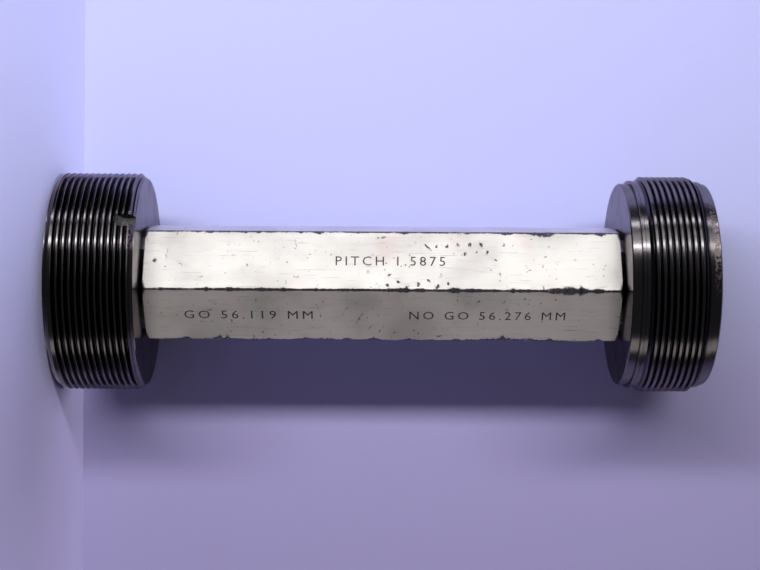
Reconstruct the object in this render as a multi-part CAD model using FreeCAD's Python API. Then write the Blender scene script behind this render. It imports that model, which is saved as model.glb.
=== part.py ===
"""Double-end thread plug gauge: a GO plug and a NO GO plug, screwed to the ends of a hexagon handle.

Three wedge prongs on each end of the handle seat in three grooves in the face of a plug, and one socket
head cap screw through the plug pulls it on to them. Both faces of a plug have the same counterbore and
grooves, so that a worn plug can be turned end for end.

The gauge stands on the outer face of its GO plug. The origin is the middle of that face, and +Z runs
along the axis to the NO GO plug. The thread has its true section, cut as separate rings: the lead of the
fine pitch is left out. Lengths are in millimetres. Angles are in degrees, about +Z from +X.
"""
import FreeCAD, Part
import math
import os

Vector = FreeCAD.Vector
AXIS = Vector(0, 0, 1)

# Thread: the same pitch on both plugs
thread_pitch = 1.5875          # 16 to the inch
thread_angle = 60.0
go_pitch_diameter = 56.119
no_go_pitch_diameter = 56.276
go_crest_flat = thread_pitch / 8
no_go_crest_flat = thread_pitch / 4

# GO plug: threaded over its whole width, between two chamfers
go_width = 22.45
go_rim_land = 0.2              # plain band between a face and its chamfer
go_rim_drop = 0.2              # that band lies this far under the root of the thread
go_thread_entry = 1.6          # a face to the middle of the first groove, at least

# Chip grooves: one across each end of the GO thread
inner_chip_groove_angle = -123.5
outer_chip_groove_angle = 68.7
chip_groove_width = 3.0
chip_groove_depth = 1.9
chip_groove_length = 5.2
chip_cutter_radius = 4.0

# NO GO plug: a short thread between two plain lands, with a pilot at each face
no_go_width = 22.45
no_go_pilot_diameter = 53.3
no_go_edge_break = 0.3
no_go_inner_pilot_length = 2.5
no_go_collar_length = 1.0      # raised edge beside the inner pilot
no_go_collar_diameter = 54.96
no_go_inner_land_length = 0.95
no_go_outer_land_length = 1.57
no_go_outer_pilot_length = 1.82
no_go_land_drop = 0.15         # the lands lie this far under the root of the thread
no_go_thread_entry = 0.9       # a land to the middle of the first groove, at least

# Cap screws
screw_diameter = 7.938         # 5/16 inch
screw_head_diameter = 11.906
screw_head_height = 7.938
screw_head_chamfer = 0.6
screw_point_chamfer = 0.9
screw_socket_flats = 6.35
screw_socket_depth = 4.8
screw_engagement = 17.0        # reach of the screw into the handle

# Bore of a plug: a hole for the screw, and the same counterbore from each face
screw_hole_clearance = 0.4     # radial
counterbore_clearance = 0.4    # radial
counterbore_chamfer = 0.5
head_recess = 0.35             # screw head under the face of the plug

# Prongs of the handle and the grooves that they seat in
prong_count = 3
prong_flank = 15.0             # slope of each flank
prong_inner_radius = 7.2
prong_outer_radius = 12.4
prong_engagement = 1.9         # reach of a prong into its groove
groove_width = 5.2             # at the face of the plug
groove_end_clearance = 0.9
groove_floor_clearance = 0.5
face_gap = 0.76                # the wedges hold the handle this far off each plug

# Hexagon handle
hex_across_flats = 28.575
hex_corner_angle = -83.3
handle_length = 122.9
corner_chamfer_depth = 1.5     # across, off each corner at the ends
corner_chamfer_length = 1.2    # along the handle
tapped_hole_clearance = 0.05   # radial
tapped_hole_spare = 4.0        # depth past the end of the screw
tapped_hole_countersink = 0.8

# Worked out from the sizes above
half_angle_slope = math.tan(math.radians(thread_angle / 2))
prong_slope = math.tan(math.radians(prong_flank))
counterbore_depth = screw_head_height + head_recess
counterbore_radius = screw_head_diameter / 2 + counterbore_clearance
tapped_hole_radius = screw_diameter / 2 + tapped_hole_clearance
hex_corner_radius = hex_across_flats / math.sqrt(3)
handle_start = go_width + face_gap
no_go_start = handle_start + handle_length + face_gap
gauge_length = no_go_start + no_go_width


def half_section(outline):
    """The flat face inside an outline of (radius, height) points."""
    points = [Vector(radius, 0, height) for radius, height in outline]
    return Part.Face(Part.makePolygon(points + points[:1]))


def turned(outline):
    """The solid that an outline of (radius, height) points sweeps about the axis."""
    return half_section(outline).revolve(Vector(0, 0, 0), AXIS, 360)


def spread_about_axis(shape, angles):
    """Copies of a shape, turned about the axis to each angle, as one compound."""
    copies = []
    for angle in angles:
        copy = shape.copy()
        copy.rotate(Vector(0, 0, 0), AXIS, angle)
        copies.append(copy)
    return Part.makeCompound(copies)


def turned_over(shape, height):
    """The shape turned end for end, so that its zero height comes to the given height."""
    flipped = shape.copy()
    flipped.rotate(Vector(0, 0, 0), Vector(1, 0, 0), 180)
    flipped.translate(AXIS * height)
    return flipped


def root_radius(pitch_diameter):
    """Radius of the sharp root of the thread: half of the pitch wide at the pitch diameter."""
    return pitch_diameter / 2 - thread_pitch / 4 / half_angle_slope


def crest_radius(pitch_diameter, crest_flat):
    """Radius of the flat crest of the thread."""
    return root_radius(pitch_diameter) + (thread_pitch - crest_flat) / 2 / half_angle_slope


def threaded(outline, pitch_diameter, crest_flat, first_height, last_height):
    """The turned solid with the vees of the thread, as many as fit between two heights."""
    root = root_radius(pitch_diameter)
    mouth = crest_radius(pitch_diameter, crest_flat) + crest_flat / 4 / half_angle_slope
    half_mouth = (mouth - root) * half_angle_slope
    spaces = int((last_height - first_height) / thread_pitch)
    lowest = (first_height + last_height - spaces * thread_pitch) / 2
    heights = [lowest + thread_pitch * step for step in range(spaces + 1)]
    vees = [half_section([(root, z), (mouth, z - half_mouth), (mouth, z + half_mouth)]) for z in heights]
    (section,) = half_section(outline).cut(vees).Faces
    return section.revolve(Vector(0, 0, 0), AXIS, 360)


def chip_groove(crest, angle):
    """The milled slot across the thread at height zero, with the round end that its cutter leaves."""
    floor = crest - chip_groove_depth
    lift = chip_cutter_radius - chip_groove_depth
    run_out = math.sqrt(chip_cutter_radius**2 - lift**2)
    flat_length = chip_groove_length - run_out
    corner = Vector(floor, -chip_groove_width / 2, -1)
    slot = Part.makeBox(2 * chip_cutter_radius, chip_groove_width, flat_length + 1, corner)
    centre = Vector(floor + chip_cutter_radius, -chip_groove_width / 2, flat_length)
    cutter = Part.makeCylinder(chip_cutter_radius, chip_groove_width, centre, Vector(0, 1, 0))
    groove = slot.fuse(cutter)
    groove.rotate(Vector(0, 0, 0), AXIS, angle)
    return groove


def screw_bore(width):
    """The hole for the cap screw, with a counterbore and a chamfer from each face."""
    hole = screw_diameter / 2 + screw_hole_clearance
    wide = counterbore_radius + counterbore_chamfer
    return turned([
        (0, 0),
        (wide, 0),
        (counterbore_radius, counterbore_chamfer),
        (counterbore_radius, counterbore_depth),
        (hole, counterbore_depth),
        (hole, width - counterbore_depth),
        (counterbore_radius, width - counterbore_depth),
        (counterbore_radius, width - counterbore_chamfer),
        (wide, width),
        (0, width),
    ])


def prong_angles():
    """Directions of the prongs, over every second corner of the handle."""
    first = hex_corner_angle + 60
    return [first + 360 / prong_count * step for step in range(prong_count)]


def wedge(inner, outer, half_width, bottom, top):
    """A bar along +X whose flanks lean in as it rises. It has its half width at height zero."""
    low = half_width - bottom * prong_slope
    high = half_width - top * prong_slope
    corners = [
        Vector(inner, -low, bottom),
        Vector(inner, low, bottom),
        Vector(inner, high, top),
        Vector(inner, -high, top),
    ]
    section = Part.Face(Part.makePolygon(corners + corners[:1]))
    return section.extrude(Vector(outer - inner, 0, 0))


def locking_grooves(width):
    """The three wedge grooves in each face of a plug, for height zero at its outer face."""
    depth = prong_engagement + groove_floor_clearance
    outer = prong_outer_radius + groove_end_clearance
    one = wedge(0, outer, groove_width / 2, -1, depth)
    bottom = spread_about_axis(one, prong_angles())
    top = spread_about_axis(turned_over(one, width), prong_angles())
    return bottom, top


def bored(blank, width):
    """A plug's blank with its bore and its locking grooves cut."""
    bottom, top = locking_grooves(width)
    return blank.cut([screw_bore(width), bottom, top])


def go_plug():
    """The GO plug, with its outer face at height zero."""
    crest = crest_radius(go_pitch_diameter, go_crest_flat)
    rim = root_radius(go_pitch_diameter) - go_rim_drop
    chamfer = go_rim_land + crest - rim
    outline = [
        (0, 0),
        (rim, 0),
        (rim, go_rim_land),
        (crest, chamfer),
        (crest, go_width - chamfer),
        (rim, go_width - go_rim_land),
        (rim, go_width),
        (0, go_width),
    ]
    last_groove = go_width - go_thread_entry
    blank = threaded(outline, go_pitch_diameter, go_crest_flat, go_thread_entry, last_groove)
    outer_chip_groove = chip_groove(crest, outer_chip_groove_angle)
    inner_chip_groove = turned_over(chip_groove(crest, -inner_chip_groove_angle), go_width)
    return bored(blank.cut([outer_chip_groove, inner_chip_groove]), go_width)


def no_go_plug():
    """The NO GO plug, with its inner face, against the handle, at height zero."""
    crest = crest_radius(no_go_pitch_diameter, no_go_crest_flat)
    land = root_radius(no_go_pitch_diameter) - no_go_land_drop
    pilot = no_go_pilot_diameter / 2
    collar = no_go_collar_diameter / 2
    collar_start = no_go_inner_pilot_length
    collar_end = collar_start + no_go_collar_length
    inner_land_end = collar_end + no_go_inner_land_length
    outer_pilot = no_go_width - no_go_outer_pilot_length
    outer_land = outer_pilot - no_go_outer_land_length
    outline = [
        (0, 0),
        (pilot - no_go_edge_break, 0),
        (pilot, no_go_edge_break),
        (pilot, collar_start),
        (collar, collar_start),
        (collar, collar_end),
        (land, collar_end),
        (land, inner_land_end),
        (crest, inner_land_end + crest - land),
        (crest, outer_land - (crest - land)),
        (land, outer_land),
        (land, outer_pilot),
        (pilot, outer_pilot),
        (pilot, no_go_width - no_go_edge_break),
        (pilot - no_go_edge_break, no_go_width),
        (0, no_go_width),
    ]
    first_groove = inner_land_end + no_go_thread_entry
    last_groove = outer_land - no_go_thread_entry
    blank = threaded(outline, no_go_pitch_diameter, no_go_crest_flat, first_groove, last_groove)
    return bored(blank, no_go_width)


def tapped_hole():
    """The hole for a cap screw in the end of the handle, from height zero up. Its thread is plain."""
    mouth = tapped_hole_radius + tapped_hole_countersink
    depth = screw_engagement + tapped_hole_spare
    drill_point = tapped_hole_radius / math.tan(math.radians(59))
    return turned([
        (0, 0),
        (mouth, 0),
        (tapped_hole_radius, tapped_hole_countersink),
        (tapped_hole_radius, depth),
        (0, depth + drill_point),
    ])


def hex_handle():
    """The hexagon handle with its prongs, with the end of its bar at height zero."""
    corners = []
    for step in range(6):
        angle = math.radians(hex_corner_angle + 60 * step)
        corners.append(Vector(hex_corner_radius * math.cos(angle), hex_corner_radius * math.sin(angle), 0))
    bar = Part.Face(Part.makePolygon(corners + corners[:1])).extrude(AXIS * handle_length)
    end_radius = hex_corner_radius - corner_chamfer_depth
    envelope = turned([
        (0, 0),
        (end_radius, 0),
        (hex_corner_radius, corner_chamfer_length),
        (hex_corner_radius, handle_length - corner_chamfer_length),
        (end_radius, handle_length),
        (0, handle_length),
    ])
    # a prong is as wide as its groove where it enters the plug, one face gap above the end of the bar
    half_width = groove_width / 2 + face_gap * prong_slope
    prong_height = face_gap + prong_engagement
    prong = wedge(prong_inner_radius, prong_outer_radius, half_width, -1, prong_height)
    far_prongs = spread_about_axis(prong, prong_angles())
    far_prongs.translate(AXIS * handle_length)
    near_prongs = spread_about_axis(turned_over(prong, 0), prong_angles())
    handle = bar.common(envelope).fuse(near_prongs.Solids + far_prongs.Solids)
    return handle.cut([tapped_hole(), turned_over(tapped_hole(), handle_length)])


def cap_screw(width):
    """The screw for a plug of this width. It points up, and the underside of its head is at height zero."""
    head = screw_head_diameter / 2
    shank = screw_diameter / 2
    reach = width - counterbore_depth + face_gap + screw_engagement
    body = turned([
        (0, -screw_head_height),
        (head - screw_head_chamfer, -screw_head_height),
        (head, screw_head_chamfer - screw_head_height),
        (head, 0),
        (shank, 0),
        (shank, reach - screw_point_chamfer),
        (shank - screw_point_chamfer, reach),
        (0, reach),
    ])
    corners = []
    for step in range(6):
        angle = math.radians(60 * step)
        radius = screw_socket_flats / math.sqrt(3)
        corners.append(Vector(radius * math.cos(angle), radius * math.sin(angle), -screw_head_height))
    socket = Part.Face(Part.makePolygon(corners + corners[:1])).extrude(AXIS * screw_socket_depth)
    return body.cut(socket)


def only_solid(shape):
    """The one solid in a shape."""
    (solid,) = shape.Solids
    return solid


def placed_pieces():
    """Each piece where it sits in the gauge, by the name of its node."""
    handle = hex_handle()
    handle.translate(AXIS * handle_start)
    upper_plug = no_go_plug()
    upper_plug.translate(AXIS * no_go_start)
    lower_screw = cap_screw(go_width)
    lower_screw.translate(AXIS * counterbore_depth)
    upper_screw = turned_over(cap_screw(no_go_width), gauge_length - counterbore_depth)
    return {
        "go_plug": go_plug(),
        "no_go_plug": upper_plug,
        "hex_handle": handle,
        "go_screw": lower_screw,
        "no_go_screw": upper_screw,
    }


os.makedirs("parts", exist_ok=True)
for node, shape in placed_pieces().items():
    solid = only_solid(shape)
    solid.exportStep(os.path.join("parts", node + ".step"))
    print(node, "volume", round(solid.Volume, 1), "closed and valid:", solid.isClosed() and solid.isValid())
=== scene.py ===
"""Looks of the double-end thread plug gauge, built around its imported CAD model.

Both plugs are made again with the true helical thread that their solids draw as rings. The hexagon
handle is made again with its worn corners, dents and stamped lines. The cap screws keep their CAD
shape. The gauge stands on its GO end on the floor, with a sheet of paper behind it.

Sizes are in millimetres and are turned to metres where a mesh is made. Only the stage's are in
metres. Angles are in degrees, about +Z from +X. The handle's own marks are placed by their height
above the floor and their distance from the corner of their face that is nearest the camera.
"""
import logging
import math
import random
from dataclasses import dataclass
from enum import Enum
from functools import cache
from typing import Callable

import bmesh
import bpy
from bpy.types import Material, Mesh, Node, NodeSocket, NodeTree, Object
from mathutils import Matrix, Vector, noise


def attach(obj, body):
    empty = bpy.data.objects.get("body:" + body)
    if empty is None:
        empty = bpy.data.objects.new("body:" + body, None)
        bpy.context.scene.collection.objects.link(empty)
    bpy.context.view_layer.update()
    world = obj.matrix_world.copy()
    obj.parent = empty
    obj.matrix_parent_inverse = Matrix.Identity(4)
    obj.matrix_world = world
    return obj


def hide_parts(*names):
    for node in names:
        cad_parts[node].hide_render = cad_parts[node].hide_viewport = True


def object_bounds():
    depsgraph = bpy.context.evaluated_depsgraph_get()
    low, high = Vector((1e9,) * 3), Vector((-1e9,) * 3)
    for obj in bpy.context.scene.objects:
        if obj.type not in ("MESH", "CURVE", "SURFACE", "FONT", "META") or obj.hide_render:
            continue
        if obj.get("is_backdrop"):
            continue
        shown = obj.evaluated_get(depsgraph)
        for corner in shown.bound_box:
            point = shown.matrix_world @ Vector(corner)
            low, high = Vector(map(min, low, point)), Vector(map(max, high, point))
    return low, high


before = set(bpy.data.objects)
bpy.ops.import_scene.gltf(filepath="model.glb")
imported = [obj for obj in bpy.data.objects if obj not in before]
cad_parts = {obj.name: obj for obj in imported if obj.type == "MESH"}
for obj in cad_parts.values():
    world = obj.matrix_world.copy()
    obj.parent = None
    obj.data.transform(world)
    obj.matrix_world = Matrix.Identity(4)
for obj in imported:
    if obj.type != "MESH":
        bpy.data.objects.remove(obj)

MM = 0.001
BODY = "root"
LOG = logging.getLogger("thread_plug_gauge")

# the point layer that says how dark the handle's finish paints shade on its worn corners and dents, from
# 0 to 1
PAINTED_SHADE_LAYER = "wear"
# points this close are merged, and edges this short are dissolved; letters keep finer detail
MERGED, DEGENERATE = 0.002, 0.001
LETTER_MERGED = 1e-5
# height of a capital as a share of the font's size
CAPITAL_SHARE = 0.73
# how far past the bar's end a tapped hole's tool starts
TAP_OVERLAP = 0.2
# a dent's raised rim ends at this many times its radius, and stands this share of its depth
DENT_REACH, DENT_RIM = 1.5, 0.12
# under 1, a chip is deep over most of its length
CHIP_ROUNDNESS = 0.6

Pair = tuple[float, float]
Triple = tuple[float, float, float]
Colour = Triple
Faces = list[tuple[int, ...]]
Inputs = dict[object, object]


def rgba(colour: Colour) -> tuple[float, float, float, float]:
    """The colour with full alpha."""
    return (*colour, 1.0)


# ---------------------------------------------------------------- node trees


def arithmetic(operation: str, swapped: bool = False) -> Callable[["Signal", object], "Signal"]:
    """Makes a method of Signal for one of Python's arithmetic signs.

    Args:
        operation: The operation of its Math node.
        swapped: Whether the signal stands to the right of the sign.

    Returns:
        The method.
    """

    def method(self: "Signal", other: object) -> "Signal":
        """The result of the Math node."""
        first, second = (other, self) if swapped else (self, other)
        return self.combined(operation, first, second)

    return method


class Signal:
    """A number that flows out of a node. Arithmetic on it adds Math nodes to its tree."""

    __add__ = arithmetic("ADD")
    __radd__ = arithmetic("ADD", swapped=True)
    __sub__ = arithmetic("SUBTRACT")
    __rsub__ = arithmetic("SUBTRACT", swapped=True)
    __mul__ = arithmetic("MULTIPLY")
    __truediv__ = arithmetic("DIVIDE")

    def __init__(self, graph: "Graph", socket: NodeSocket) -> None:
        """Wraps one output socket of a graph."""
        self.graph = graph
        self.socket = socket

    def combined(self, operation: str, first: object, second: object) -> "Signal":
        """One Math node on two values or signals."""
        return self.graph.signal("ShaderNodeMath", {0: first, 1: second}, operation=operation)

    def apply(self, operation: str, other: object = 0.0) -> "Signal":
        """Any other Math operation on the signal, such as SINE or MINIMUM."""
        return self.combined(operation, self, other)


class Graph:
    """A node tree under construction."""

    def __init__(self, tree: NodeTree) -> None:
        """Starts on a tree, which is emptied."""
        self.tree = tree
        tree.nodes.clear()

    def feed(self, socket: NodeSocket, value: object) -> None:
        """Gives an input socket a link or a fixed value.

        Args:
            socket: The input.
            value: A Signal, an output socket, or a plain value.
        """
        if isinstance(value, Signal):
            value = value.socket
        if isinstance(value, NodeSocket):
            self.tree.links.new(value, socket)
        else:
            socket.default_value = value

    def node(self, kind: str, inputs: Inputs | None = None, **settings: object) -> Node:
        """Adds a node of any type.

        Args:
            kind: The node's type name.
            inputs: Values or links of its sockets, by name or number.
            **settings: Its properties.

        Returns:
            The node.
        """
        node = self.tree.nodes.new(kind)
        for key, value in settings.items():
            setattr(node, key, value)
        for key, value in (inputs or {}).items():
            self.feed(node.inputs[key], value)
        return node

    def out(
        self, kind: str, inputs: Inputs | None = None, output: object = 0, **settings: object
    ) -> NodeSocket:
        """Adds a node and returns one of its outputs, by name or number."""
        return self.node(kind, inputs, **settings).outputs[output]

    def signal(
        self, kind: str, inputs: Inputs | None = None, output: object = 0, **settings: object
    ) -> Signal:
        """Adds a node and returns one of its outputs as a signal."""
        return Signal(self, self.out(kind, inputs, output, **settings))

    def between(self, value: object, low: float, high: float) -> Signal:
        """The value taken from low and high to 0 and 1, smoothly."""
        inputs = {"Value": value, "From Min": low, "From Max": high}
        return self.signal("ShaderNodeMapRange", inputs, interpolation_type="SMOOTHSTEP")

    def blend(self, factor: object, first: object, second: object) -> NodeSocket:
        """A colour between two colours.

        Args:
            factor: 0 for the first colour, 1 for the second.
            first: A colour or the output of a node.
            second: The same.

        Returns:
            The output with the colour.
        """
        node = self.node("ShaderNodeMix", {"Factor": factor}, data_type="RGBA")
        for key, colour in ((6, first), (7, second)):
            self.feed(node.inputs[key], rgba(colour) if isinstance(colour, tuple) else colour)
        return node.outputs[2]


class Finish(Graph):
    """A material under construction, with the patterns that the finishes share."""

    def __init__(self, name: str) -> None:
        """Starts a material of this name, read in Object coordinates."""
        self.material = bpy.data.materials.new(name)
        self.material.use_nodes = True
        super().__init__(self.material.node_tree)
        self.place = self.out("ShaderNodeTexCoord", output="Object")

    def stretched(self, scale: Triple, turn: Triple = (0.0, 0.0, 0.0)) -> NodeSocket:
        """The object's coordinates, turned by radians and then stretched."""
        inputs = {"Vector": self.place, "Scale": scale, "Rotation": turn}
        return self.out("ShaderNodeMapping", inputs)

    def cloud(self, size: float, detail: float = 3.0, place: object = None) -> Signal:
        """Noise from 0 to 1 with blotches of about a size in millimetres."""
        inputs = {"Vector": place or self.place, "Scale": 1.0 / (size * MM), "Detail": detail}
        return self.signal("ShaderNodeTexNoise", inputs)

    def band(self, low: float, high: float, soft: float) -> Signal:
        """1 between two heights above the floor and 0 outside them, with soft edges."""
        z = self.signal("ShaderNodeSeparateXYZ", {0: self.place}, "Z") * (1 / MM)
        return self.between(z, low - soft, low + soft) * self.between(z, high + soft, high - soft)

    def vector(
        self, operation: str, first: object, second: object = None, output: object = 0
    ) -> NodeSocket:
        """One output of a Vector Math node."""
        inputs = {0: first} if second is None else {0: first, 1: second}
        return self.out("ShaderNodeVectorMath", inputs, output, operation=operation)

    def off_axis(self) -> NodeSocket:
        """The place with its height taken out: the way from the axis."""
        return self.vector("MULTIPLY", self.place, (1.0, 1.0, 0.0))

    def radius(self) -> Signal:
        """Distance from the axis, in millimetres."""
        return Signal(self, self.vector("LENGTH", self.off_axis(), output="Value")) * (1 / MM)

    def towards(self, angle: float, spread: float) -> Signal:
        """1 on the side of the gauge that faces an angle, falling to 0 at the spread from it."""
        axis = (math.cos(math.radians(angle)), math.sin(math.radians(angle)), 0.0)
        dot = self.vector("DOT_PRODUCT", self.vector("NORMALIZE", self.off_axis()), axis, "Value")
        return self.between(dot, math.cos(math.radians(spread)), 1.0)

    def rounded(self, amount: object) -> NodeSocket:
        """The surface's normal, leaned towards straight out from the axis by an amount."""
        unit = self.vector("NORMALIZE", self.off_axis())
        normal = self.out("ShaderNodeNewGeometry", output="Normal")
        inputs = {0: amount, 4: normal, 5: unit}
        return self.vector("NORMALIZE", self.out("ShaderNodeMix", inputs, 1, data_type="VECTOR"))

    def bump(
        self, height: object, depth: float, strength: float, normal: object = None
    ) -> NodeSocket:
        """A normal from a height of 0 to 1 that stands for a depth in millimetres."""
        inputs = {"Height": height, "Distance": depth * MM, "Strength": strength}
        if normal is not None:
            inputs["Normal"] = normal
        return self.out("ShaderNodeBump", inputs)

    def surface(self, **sockets: object) -> Material:
        """Ends the material in one Principled shader.

        Args:
            **sockets: Its inputs, with underscores for spaces.

        Returns:
            The material.
        """
        inputs = {key.replace("_", " "): value for key, value in sockets.items()}
        shader = self.out("ShaderNodeBsdfPrincipled", inputs)
        self.node("ShaderNodeOutputMaterial", {"Surface": shader})
        return self.material


# ------------------------------------------------------------------ finishes


@dataclass(frozen=True)
class StainAndSheen:
    """Where a plug is stained and painted with a sheen: between two heights, and to both sides of an
    angle, which is where the narrow key lamp's highlight falls.
    """

    low: float
    high: float
    angle: float
    spread: float


@dataclass(frozen=True)
class PlugSteel:
    """Ground tool steel, dark with age, smudged, with small rust spots and a stained end painted with a
    sheen.

    Painted shade darkens the thread's grooves, from groove_shade_top under its crests to
    groove_shade_floor over its roots. The crests are shaded round from round_low to round_high under
    them. The thread's finish ends softly, over soft, and the stained end with its painted sheen over
    stain_and_sheen_soft.
    """

    name: str
    threaded: Pair
    root: float
    crest: float
    stain_and_sheen: StainAndSheen
    colour: Colour = (0.23, 0.215, 0.225)
    dull: Colour = (0.12, 0.112, 0.12)
    speck: Colour = (0.05, 0.045, 0.05)
    # painted shade: the near-black that the thread's grooves are painted with
    painted_groove_shade: Colour = (0.045, 0.041, 0.055)
    # a real rust stain, lightened into a painted sheen
    rust_and_painted_sheen: Colour = (0.46, 0.30, 0.30)
    edge: Colour = (0.62, 0.59, 0.61)
    roughness: float = 0.15
    groove_shade_top: float = 0.08
    groove_shade_floor: float = 0.05
    round_low: float = 0.34
    round_high: float = 0.10
    soft: float = 0.05
    stain_and_sheen_soft: float = 0.25

    def make(self) -> Material:
        """The material."""
        f = Finish(self.name)
        smudge = f.between(f.cloud(7.0, 4.0), 0.42, 0.70)
        fine = f.cloud(0.6, 4.0)
        specks = f.between(f.cloud(1.1, 2.0), 0.68, 0.76)
        rings = f.cloud(1.0, 3.0, f.stretched((0.02, 0.02, 9.0)))
        threaded = f.band(*self.threaded, self.soft)
        radius = f.radius()
        # painted shade in the thread's grooves, full over their roots
        groove_shade_mask = threaded * f.between(radius, self.crest - self.groove_shade_top, self.root + self.groove_shade_floor)
        crest = threaded * f.between(radius, self.crest - self.round_low, self.crest - self.round_high)
        stain_and_sheen = self.stain_and_sheen
        # stain and painted sheen, on the side where the narrow key lamp's highlight falls
        where = f.band(stain_and_sheen.low, stain_and_sheen.high, self.stain_and_sheen_soft) * f.towards(stain_and_sheen.angle, stain_and_sheen.spread)
        stain_and_sheen_mask = where * f.between(f.cloud(0.8, 5.0), 0.42, 0.66)
        colour = f.blend(smudge * 0.6, self.colour, self.dull)
        colour = f.blend(specks * 0.7, colour, self.speck)
        colour = f.blend(groove_shade_mask * 0.92, colour, self.painted_groove_shade)
        colour = f.blend(stain_and_sheen_mask * 0.65, colour, self.rust_and_painted_sheen)
        grain = rings * 0.6 + fine * 0.4 + specks * -0.5 + stain_and_sheen_mask * 0.6
        return f.surface(
            Base_Color=colour,
            Metallic=1.0,
            Specular_Tint=rgba(self.edge),
            Roughness=self.roughness + smudge * 0.06 + fine * 0.03 + stain_and_sheen_mask * 0.35,
            Normal=f.bump(grain, 0.004, 0.7, f.rounded(crest)),
        )


@dataclass(frozen=True)
class MilledSteel:
    """The duller steel of the milled slots in a plug."""

    name: str
    colour: Colour = (0.17, 0.165, 0.17)
    dark: Colour = (0.05, 0.048, 0.05)

    def make(self) -> Material:
        """The material."""
        f = Finish(self.name)
        grit = f.cloud(0.5, 4.0)
        colour = f.blend(f.between(grit, 0.4, 0.7) * 0.6, self.colour, self.dark)
        rough = 0.5 + grit * 0.15
        normal = f.bump(grit, 0.02, 0.8)
        return f.surface(Base_Color=colour, Metallic=1.0, Roughness=rough, Normal=normal)


@dataclass(frozen=True)
class HandleMetal:
    """Satin pale metal with drawn lines along the bar, handling marks and warm stains.

    Painted shade darkens the worn corners and dents: it starts where their layer's value, roughened
    by noise, reaches painted_shade_from, and is full from painted_shade_full on.
    """

    name: str = "handle_satin"
    colour: Colour = (0.87, 0.85, 0.82)
    worn: Colour = (0.66, 0.63, 0.60)
    rosy: Colour = (0.72, 0.50, 0.44)
    # dark for pits and scratches, and painted shade on the worn corners and dents
    grime_and_painted_shade: Colour = (0.15, 0.135, 0.17)
    drawn_scale: Triple = (2.2, 2.2, 0.035)
    scratch_scale: Triple = (5.0, 5.0, 0.12)
    scratch_turn: Triple = (0.25, 0.1, 0.0)
    # where the painted shade on the worn corners and dents starts and where it is full
    painted_shade_from: float = 1.28
    painted_shade_full: float = 1.56

    def make(self) -> Material:
        """The material."""
        f = Finish(self.name)
        drawn = f.cloud(1.0, 3.0, f.stretched(self.drawn_scale))
        slanted = f.stretched(self.scratch_scale, self.scratch_turn)
        scratched = f.between(f.cloud(1.0, 2.0, slanted), 0.66, 0.72)
        pits = f.between(f.cloud(1.1), 0.66, 0.71) * f.between(f.cloud(9.0), 0.40, 0.56)
        warm = f.between(f.cloud(9.0, 5.0), 0.54, 0.76)
        patch = f.between(f.cloud(16.0, 4.0), 0.40, 0.72)
        wear = f.signal("ShaderNodeAttribute", output="Fac", attribute_name=PAINTED_SHADE_LAYER)
        noisy_shade_mask = wear + f.cloud(0.8, 4.0) * 0.6 + f.cloud(7.0) * 0.6
        # painted shade along the worn corners and in the dents
        painted_shade_mask = f.between(noisy_shade_mask, self.painted_shade_from, self.painted_shade_full)
        colour = f.blend(patch * 0.5, self.colour, self.worn)
        colour = f.blend(drawn * 0.22, colour, self.worn)
        colour = f.blend(warm * 0.22, colour, self.rosy)
        colour = f.blend((pits * 0.8 + scratched * 0.4).apply("MINIMUM", 1.0), colour, self.grime_and_painted_shade)
        colour = f.blend(painted_shade_mask * 0.9, colour, self.grime_and_painted_shade)
        rough = 0.36 + drawn * 0.1 + patch * 0.06 + painted_shade_mask * 0.28
        grain = drawn * 0.5 + f.cloud(0.35) * 0.35 + pits * -0.8 + scratched * -0.5 + painted_shade_mask * -0.4
        normal = f.bump(grain, 0.02, 0.6)
        return f.surface(Base_Color=colour, Metallic=1.0, Roughness=rough, Normal=normal)


@dataclass(frozen=True)
class DarkStampedFinish:
    """The dark floor and walls of the stamped characters."""

    name: str = "stamped_dark"
    colour: Colour = (0.035, 0.033, 0.035)
    dust: Colour = (0.16, 0.15, 0.145)

    def make(self) -> Material:
        """The material."""
        f = Finish(self.name)
        dusty = f.between(f.cloud(0.5), 0.45, 0.75)
        colour = f.blend(dusty * 0.6, self.colour, self.dust)
        return f.surface(Base_Color=colour, Metallic=0.0, Roughness=0.6 + dusty * 0.2)


@dataclass(frozen=True)
class BlackOxide:
    """Black oxide on the cap screws, rubbed bright in places."""

    name: str = "screw_black_oxide"
    colour: Colour = (0.055, 0.055, 0.06)
    rubbed: Colour = (0.24, 0.235, 0.24)

    def make(self) -> Material:
        """The material."""
        f = Finish(self.name)
        rub = f.between(f.cloud(2.4, 5.0), 0.52, 0.72)
        fine = f.cloud(0.3)
        colour = f.blend(rub * 0.5, self.colour, self.rubbed)
        rough = 0.42 + fine * 0.12 - rub * 0.1
        normal = f.bump(fine, 0.01, 0.5)
        return f.surface(Base_Color=colour, Metallic=1.0, Roughness=rough, Normal=normal)


# ---------------------------------------------------------------- mesh tools


def new_piece(name: str, mesh: Mesh) -> Object:
    """An object for a mesh, at the origin, in the scene."""
    piece = bpy.data.objects.new(name, mesh)
    bpy.context.scene.collection.objects.link(piece)
    return piece


def from_points(name: str, points: list[Vector], faces: Faces) -> Object:
    """A piece from points in millimetres and faces, with its normals turned outwards."""
    mesh = bpy.data.meshes.new(name)
    mesh.from_pydata([point * MM for point in points], [], faces)
    outward(mesh)
    return new_piece(name, mesh)


def outward(mesh: Mesh) -> None:
    """Turns a closed mesh's faces outwards."""
    work = bmesh.new()
    work.from_mesh(mesh)
    bmesh.ops.recalc_face_normals(work, faces=work.faces)
    work.to_mesh(mesh)
    work.free()


def evaluated_mesh(piece: Object) -> Mesh:
    """A new mesh with the shape that a piece has after its modifiers."""
    depsgraph = bpy.context.evaluated_depsgraph_get()
    return bpy.data.meshes.new_from_object(piece.evaluated_get(depsgraph))


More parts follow.
